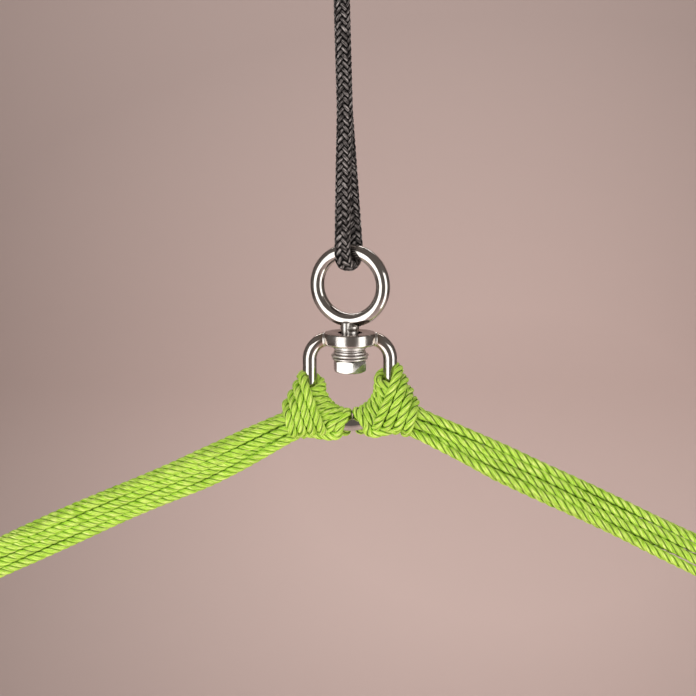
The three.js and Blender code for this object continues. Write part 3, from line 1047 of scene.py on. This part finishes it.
def addGroup(nodes, group, **values):
    node = nodes.new("ShaderNodeGroup")
    node.node_tree = group
    for label, value in values.items():
        node.inputs[label].default_value = value
    return node


def addRamp(nodes, links, value, stops):
    node = nodes.new("ShaderNodeValToRGB")
    ramp = node.color_ramp
    while len(ramp.elements) < len(stops):
        ramp.elements.new(0.5)
    for element, (place, colour) in zip(ramp.elements, stops):
        element.position = place
        element.color = (*colour, 1)
    links.new(value, node.inputs[0])
    return node.outputs[0]


def addRange(nodes, links, value, low, high, fromLow=0.3, fromHigh=0.7):
    node = nodes.new("ShaderNodeMapRange")
    node.inputs["From Min"].default_value = fromLow
    node.inputs["From Max"].default_value = fromHigh
    node.inputs["To Min"].default_value = low
    node.inputs["To Max"].default_value = high
    links.new(value, node.inputs["Value"])
    return node.outputs[0]


def addMix(nodes, links, factor, first, second, blend="MIX"):
    node = nodes.new("ShaderNodeMix")
    node.data_type = "RGBA"
    node.blend_type = blend
    for socket, value in ((node.inputs[0], factor), (node.inputs[6], first), (node.inputs[7], second)):
        if isinstance(value, (int, float)):
            socket.default_value = value
        elif isinstance(value, tuple):
            socket.default_value = (*value, 1)
        else:
            links.new(value, socket)
    return node.outputs[2]


def addBump(nodes, links, height, strength, distance):
    node = nodes.new("ShaderNodeBump")
    node.inputs["Strength"].default_value = strength
    node.inputs["Distance"].default_value = distance
    links.new(height, node.inputs["Height"])
    return node.outputs[0]


# a twisted or braided yarn that reads the strand's own map, with painted shade between the strands
def yarnMaterial(name, look):
    material, nodes, links, shader = newMaterial(name)
    uv = nodes.new("ShaderNodeUVMap")
    uv.uv_map = "strandMap"
    crown = nodes.new("ShaderNodeAttribute")
    crown.attribute_name = "crown"
    group = addGroup(nodes, fibreGroup, Fibres=look["fibres"], Stretch=look["stretch"], Slant=0.02)
    links.new(uv.outputs[0], group.inputs["Vector"])
    # fibre streaks: the light stop is partly fibre colour and partly painted sheen highlight
    fibre = addRamp(nodes, links, group.outputs["Fibre"], [
        (0.36, look["dark"]), (0.5, look["mid"]), (0.64, look["light"]),
    ])
    # painted shade: where crown is low, the gap colour darkens the strand's sides and the strands that pass
    # under others
    depth = addRange(nodes, links, crown.outputs["Fac"], 0.0, 1.0, *look["crown"])
    colour = addMix(nodes, links, depth, look["paintedGapShade"], fibre)
    worn = addRange(nodes, links, group.outputs["Patch"], 0.88, 1.1)
    scaled = nodes.new("ShaderNodeVectorMath")
    scaled.operation = "SCALE"
    links.new(colour, scaled.inputs[0])
    links.new(worn, scaled.inputs["Scale"])
    links.new(scaled.outputs[0], shader.inputs["Base Color"])
    links.new(addRange(nodes, links, group.outputs["Fibre"], 0.75, 0.48), shader.inputs["Roughness"])
    links.new(addBump(nodes, links, group.outputs["Fibre"], 0.7, 0.00035), shader.inputs["Normal"])
    shader.inputs["Specular IOR Level"].default_value = look["gloss"]
    return material


# twine read in place: its fibres slant round each turn
def twineMaterial(name, look):
    material, nodes, links, shader = newMaterial(name)
    place = nodes.new("ShaderNodeTexCoord")
    mapping = nodes.new("ShaderNodeMapping")
    mapping.inputs["Scale"].default_value = (1000, 1000, 1000)
    mapping.inputs["Rotation"].default_value = (0.3, 0.9, 0.2)
    links.new(place.outputs["Object"], mapping.inputs[0])
    wave = nodes.new("ShaderNodeTexWave")
    wave.inputs["Scale"].default_value = 0.32
    wave.inputs["Distortion"].default_value = 1.6
    wave.inputs["Detail"].default_value = 2
    links.new(mapping.outputs[0], wave.inputs["Vector"])
    links.new(addRamp(nodes, links, wave.outputs[1], [
        (0.1, look["dark"]), (0.75, look["light"]),
    ]), shader.inputs["Base Color"])
    links.new(addBump(nodes, links, wave.outputs[1], 0.6, 0.0004), shader.inputs["Normal"])
    shader.inputs["Roughness"].default_value = 0.65
    shader.inputs["Sheen Weight"].default_value = 0.3
    return material


# metal with fine wear; some of it is heat stained, has a painted dark reflection on its top face, or painted
# shade inside a radius
def steelMaterial(name, look):
    material, nodes, links, shader = newMaterial(name)
    place = nodes.new("ShaderNodeTexCoord")
    group = addGroup(nodes, wearGroup, Scratches=look["scratches"])
    links.new(place.outputs["Object"], group.inputs["Vector"])
    smudge = group.outputs["Smudge"]
    dull = tuple(c * 0.82 for c in look["colour"])
    tone = addMix(nodes, links, addRange(nodes, links, smudge, 0.0, 1.0), look["colour"], dull)
    if "stain" in look:
        stain = look["stain"]
        fromCollar = nodes.new("ShaderNodeVectorMath")
        fromCollar.operation = "DISTANCE"
        links.new(place.outputs["Object"], fromCollar.inputs[0])
        fromCollar.inputs[1].default_value = (0, 0, -drop * mm)
        away = fromCollar.outputs["Value"]
        heat = addRange(nodes, links, away, 1.0, 0.0, stain["from"] * mm, stain["to"] * mm)
        patchy = addMath(nodes, links, "MULTIPLY", heat, addRange(nodes, links, smudge, 0.2, 1.0))
        tone = addMix(nodes, links, patchy, tone, stain["colour"])
    # painted dark reflection: the collar's top face is painted dark brown
    if "paintedDarkTop" in look:
        split = nodes.new("ShaderNodeSeparateXYZ")
        links.new(place.outputs["Object"], split.inputs[0])
        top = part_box("collar")[1].z
        upper = addRange(nodes, links, split.outputs[2], 0.0, 0.85, top - 0.3 * mm, top - 0.08 * mm)
        tone = addMix(nodes, links, upper, tone, look["paintedDarkTop"])
    # painted shade: inside the radius, the recess and bore are painted near-black
    if "paintedRecessShade" in look:
        radius = look["paintedRecessShade"]["radius"]
        flat = nodes.new("ShaderNodeVectorMath")
        flat.operation = "MULTIPLY"
        flat.inputs[1].default_value = (1, 1, 0)
        links.new(place.outputs["Object"], flat.inputs[0])
        fromAxis = nodes.new("ShaderNodeVectorMath")
        fromAxis.operation = "LENGTH"
        links.new(flat.outputs[0], fromAxis.inputs[0])
        inside = addRange(nodes, links, fromAxis.outputs["Value"], 1.0, 0.0, radius * mm, (radius + 0.15) * mm)
        tone = addMix(nodes, links, inside, tone, look["paintedRecessShade"]["colour"])
    links.new(tone, shader.inputs["Base Color"])
    links.new(addRange(nodes, links, smudge, *look["rough"]), shader.inputs["Roughness"])
    links.new(addBump(nodes, links, group.outputs["Height"], look["bump"], 0.00006), shader.inputs["Normal"])
    shader.inputs["Metallic"].default_value = 1
    return material


def paint(obj, material):
    obj.data.materials.clear()
    obj.data.materials.append(material)


# the gap colour is painted shade between strands and on strands that pass under others; crown is where on a
# strand that painted shade gives way to the yarn's own
yarns = {
    # the light stops are partly fibre colour and partly painted sheen highlight
    "limeYarn": {
        "paintedGapShade": (0.014, 0.09, 0.0), "dark": (0.25, 0.52, 0.015), "mid": (0.55, 0.86, 0.09),
        "light": (0.92, 1.0, 0.34), "fibres": 22, "stretch": 0.2, "gloss": 0.16, "crown": (0.46, 0.76),
    },
    "blackBraid": {
        "paintedGapShade": (0.0003, 0.0002, 0.0002), "dark": (0.012, 0.01, 0.01), "mid": (0.12, 0.107, 0.105),
        "light": (0.52, 0.48, 0.47), "fibres": 8, "stretch": 0.3, "gloss": 0.16, "crown": (0.66, 0.92),
    },
}
twine = {"dark": (0.16, 0.36, 0.01), "light": (0.54, 0.84, 0.1)}
steels = {
    "polishedSteel": {"colour": (0.7, 0.67, 0.64), "rough": (0.09, 0.17), "scratches": 0.25, "bump": 0.16},
    "bowSteel": {
        "colour": (0.7, 0.67, 0.64), "rough": (0.1, 0.18), "scratches": 0.25, "bump": 0.16,
        "stain": {"from": 15.6, "to": 20.5, "colour": (0.5, 0.3, 0.15)},
    },
    "turnedSteel": {
        "colour": (0.68, 0.65, 0.62), "rough": (0.14, 0.26), "scratches": 1.0, "bump": 0.34,
        # painted dark reflection on the top face and painted shade in the recess
        "paintedDarkTop": (0.24, 0.18, 0.14), "paintedRecessShade": {"radius": 6.85, "colour": (0.02, 0.017, 0.015)},
    },
    "washerSteel": {"colour": (0.86, 0.82, 0.8), "rough": (0.36, 0.5), "scratches": 1.2, "bump": 0.3},
    "boltSteel": {"colour": (0.62, 0.6, 0.57), "rough": (0.16, 0.26), "scratches": 0.5, "bump": 0.3},
    "stemSteel": {"colour": (0.82, 0.79, 0.76), "rough": (0.26, 0.4), "scratches": 0.5, "bump": 0.3},
    "weldSteel": {"colour": (0.8, 0.76, 0.72), "rough": (0.26, 0.42), "scratches": 0.6, "bump": 0.6},
    "plateSteel": {"colour": (0.64, 0.62, 0.6), "rough": (0.24, 0.38), "scratches": 2.0, "bump": 0.5},
    "sleeveMetal": {"colour": (0.55, 0.55, 0.55), "rough": (0.28, 0.42), "scratches": 1.6, "bump": 0.5},
}
finishes = {name: yarnMaterial(name, look) for name, look in yarns.items()}
finishes["limeTwine"] = twineMaterial("limeTwine", twine)
finishes.update({name: steelMaterial(name, look) for name, look in steels.items()})

painted = {
    "polishedSteel": [ringObj],
    "boltSteel": [boltObj],
    "stemSteel": [stemObj],
    "bowSteel": [bowObj],
    "turnedSteel": [collarObj],
    "washerSteel": [upperRace, lowerRace, flatWasher, springWasher, cageObj],
    "weldSteel": [ringWeld, leftWeld, rightWeld],
    "plateSteel": [plateObj, eyeObj],
    "sleeveMetal": [sleeveObj],
    "blackBraid": [rope],
    "limeTwine": list(twines.values()),
    "limeYarn": [obj for loops in limeLoops.values() for obj, line, length in loops],
}
for name, pieces in painted.items():
    for obj in pieces:
        paint(obj, finishes[name])
print("stage: materials")


for label in limeLoops:
    for obj, line, length in limeLoops[label]:
        if obj.name.endswith("_4"):
            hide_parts(f"{label}_hitch")


# soft studio light: a tall box on each side, fills that steel does not mirror, and washes on the paper
lights = {
    "leftBox": {
        "azimuth": -41, "away": 1.1, "low": -1.5, "high": 0.2, "wide": 0.8, "radiance": 2.2,
        "colour": (1, 0.985, 0.96), "target": (0, 0, -0.65), "mirrored": True,
    },
    "rightBox": {
        "azimuth": 55, "away": 1.1, "low": -1.4, "high": 0.2, "wide": 0.62, "radiance": 2.2,
        "colour": (1, 0.98, 0.95), "target": (0, 0, -0.6), "mirrored": True,
    },
    "frontFill": {
        "azimuth": -8, "away": 1.3, "low": 0.1, "high": 0.9, "wide": 1.2, "radiance": 2.6,
        "colour": (1, 0.98, 0.95), "target": (0, 0, -0.27), "mirrored": False,
    },
    "backFill": {
        "azimuth": 172, "away": 1.8, "low": 0.4, "high": 1.2, "wide": 1.2, "radiance": 1.6,
        "colour": (1, 0.98, 0.95), "target": (0, 0, -0.27), "mirrored": False,
    },
    "backdropWash": {
        "azimuth": 180, "away": 1.5, "low": 0.9, "high": 1.7, "wide": 2.4, "radiance": 9.0,
        "colour": (1, 0.97, 0.95), "target": (0.2, 3.2, -1.0), "mirrored": True,
    },
    "floorWash": {
        "azimuth": 0, "away": 1.2, "low": -2.75, "high": 1.25, "wide": 7.0, "radiance": 1.2,
        "colour": (1, 0.98, 0.95), "target": None, "mirrored": False,
    },
}


# a lit rectangle that the camera does not see; with no target it shines straight down
def addBox(name, box):
    a = math.radians(box["azimuth"])
    tall = box["high"] - box["low"]
    place = Vector((math.sin(a) * box["away"], -math.cos(a) * box["away"], (box["low"] + box["high"]) / 2))
    data = bpy.data.lights.new(name, "AREA")
    data.shape = "RECTANGLE"
    data.size, data.size_y = box["wide"], tall
    data.energy = box["radiance"] * math.pi * box["wide"] * tall
    data.color = box["colour"]
    obj = bpy.data.objects.new(name, data)
    obj.location = place
    if box["target"]:
        obj.rotation_euler = (Vector(box["target"]) - place).to_track_quat("-Z", "Y").to_euler()
    obj.visible_glossy = box["mirrored"]
    obj.visible_camera = False
    bpy.context.collection.objects.link(obj)


# a pale paper sweep, floor and wall in one, with a painted pool of light: lighter round one spot and darker
# away from it
paper = {
    "wide": 12.0,
    "front": -4.0,
    "wall": 3.2,
    "floor": -1.6,
    "top": 3.0,
    "bend": 0.7,
    "paintedLightAt": (0.42, 3.2, -1.08),
    "paintedLightSize": (2.2, 4.5, 1.47),
    "tones": [
        (0.0, (0.34, 0.268, 0.25)), (0.23, (0.39, 0.307, 0.287)), (0.45, (0.5, 0.393, 0.367)),
        (0.74, (0.65, 0.511, 0.477)),
    ],
}


def buildBackdrop():
    deselectAll()
    bend = paper["bend"]
    back = paper["wall"] - bend
    bpy.ops.mesh.primitive_plane_add(size=1, location=(0, (paper["front"] + back) / 2, paper["floor"]))
    bpy.context.object.scale = (paper["wide"], back - paper["front"], 1)
    obj = beginPiece("backdrop")
    pickEdges(obj, lambda a, b: a.y > 0 and b.y > 0)
    bpy.ops.mesh.spin(
        steps=16, angle=-math.pi / 2, axis=(1, 0, 0),
        center=(0, back, paper["floor"] + bend),
    )
    bpy.ops.mesh.extrude_edges_move(
        TRANSFORM_OT_translate={"value": (0, 0, paper["top"] - paper["floor"] - bend)},
    )
    bpy.ops.mesh.select_all(action="SELECT")
    bpy.ops.object.mode_set(mode="OBJECT")
    bpy.ops.object.shade_smooth()
    material, nodes, links, shader = newMaterial("backdropPaper")
    place = nodes.new("ShaderNodeTexCoord")
    centre = nodes.new("ShaderNodeMapping")
    centre.vector_type = "TEXTURE"
    centre.inputs["Location"].default_value = paper["paintedLightAt"]
    centre.inputs["Scale"].default_value = paper["paintedLightSize"]
    links.new(place.outputs["Object"], centre.inputs[0])
    # painted pool of light: a round gradient that lightens the paper round one spot
    paintedLightPool = nodes.new("ShaderNodeTexGradient")
    paintedLightPool.gradient_type = "SPHERICAL"
    links.new(centre.outputs[0], paintedLightPool.inputs[0])
    tone = addRamp(nodes, links, paintedLightPool.outputs["Color"], paper["tones"])
    links.new(tone, shader.inputs["Base Color"])
    shader.inputs["Roughness"].default_value = 0.9
    obj.data.materials.append(material)


buildBackdrop()
for name, box in lights.items():
    addBox(name, box)


# the room is dark brown in reflections and pale where the view looks past the paper
room = {"colour": (0.9, 0.78, 0.7, 1), "strength": 0.16, "pastPaper": (0.5, 0.39, 0.36, 1)}


def buildRoom():
    world = bpy.data.worlds.new("room")
    bpy.context.scene.world = world
    world.use_nodes = True
    nodes, links = world.node_tree.nodes, world.node_tree.links
    dim = nodes["Background"]
    dim.inputs[0].default_value = room["colour"]
    dim.inputs[1].default_value = room["strength"]
    pale = nodes.new("ShaderNodeBackground")
    pale.inputs[0].default_value = room["pastPaper"]
    path = nodes.new("ShaderNodeLightPath")
    mix = nodes.new("ShaderNodeMixShader")
    links.new(path.outputs["Is Camera Ray"], mix.inputs[0])
    links.new(dim.outputs[0], mix.inputs[1])
    links.new(pale.outputs[0], mix.inputs[2])
    links.new(mix.outputs[0], nodes["World Output"].inputs[0])


buildRoom()
bpy.context.scene.view_settings.view_transform = "Standard"
print("stage: light")
